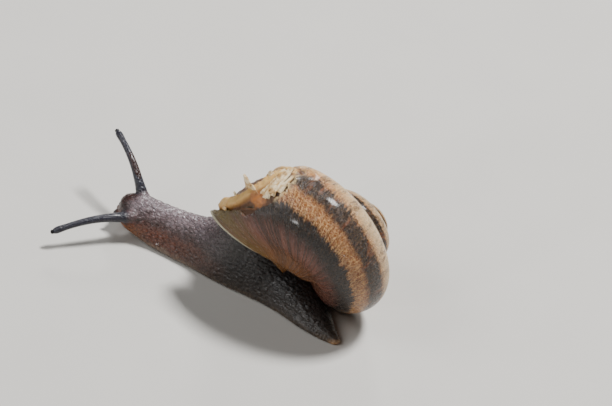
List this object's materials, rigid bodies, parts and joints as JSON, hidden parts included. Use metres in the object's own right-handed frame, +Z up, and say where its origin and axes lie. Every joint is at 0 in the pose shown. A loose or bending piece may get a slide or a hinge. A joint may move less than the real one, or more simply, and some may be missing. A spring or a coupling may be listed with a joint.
{
  "type": "land snail",
  "caption": "Garden snail crawling, with a brown banded coiled shell broken and regrown at its front edge, and its eye tentacles out: a still, life-size museum model.",
  "frame": {"origin": "middle of the bounding box in X and Y, on the floor under the sole", "axes": "the snail crawls towards -X, +Y is its right side, where the spire points, and +Z is up"},
  "size_m": [0.0536, 0.0322, 0.0252],
  "materials": {
    "shell_horn": "glossy, crinkled, brown with darker bands",
    "shell_new": "thin, smooth, tan, slightly translucent",
    "shell_chip": "matt broken edge, cream",
    "skin": "wet, warty, grey brown",
    "eye": "wet black"
  },
  "bodies": {
    "root": {"shell": "shell_horn", "shell_repair": "shell_new", "shell_flake_1": "shell_chip", "shell_flake_2": "shell_chip", "shell_flake_3": "shell_chip", "mantle": "skin", "head": "skin", "neck": "skin", "trunk": "skin", "tail": "skin", "tail_tip": "skin", "upper_tentacle_left": "skin", "upper_tentacle_right": "skin", "lower_tentacle_left": "skin", "lower_tentacle_right": "skin", "eye_left": "eye", "eye_right": "eye"}
  },
  "joints": []
}
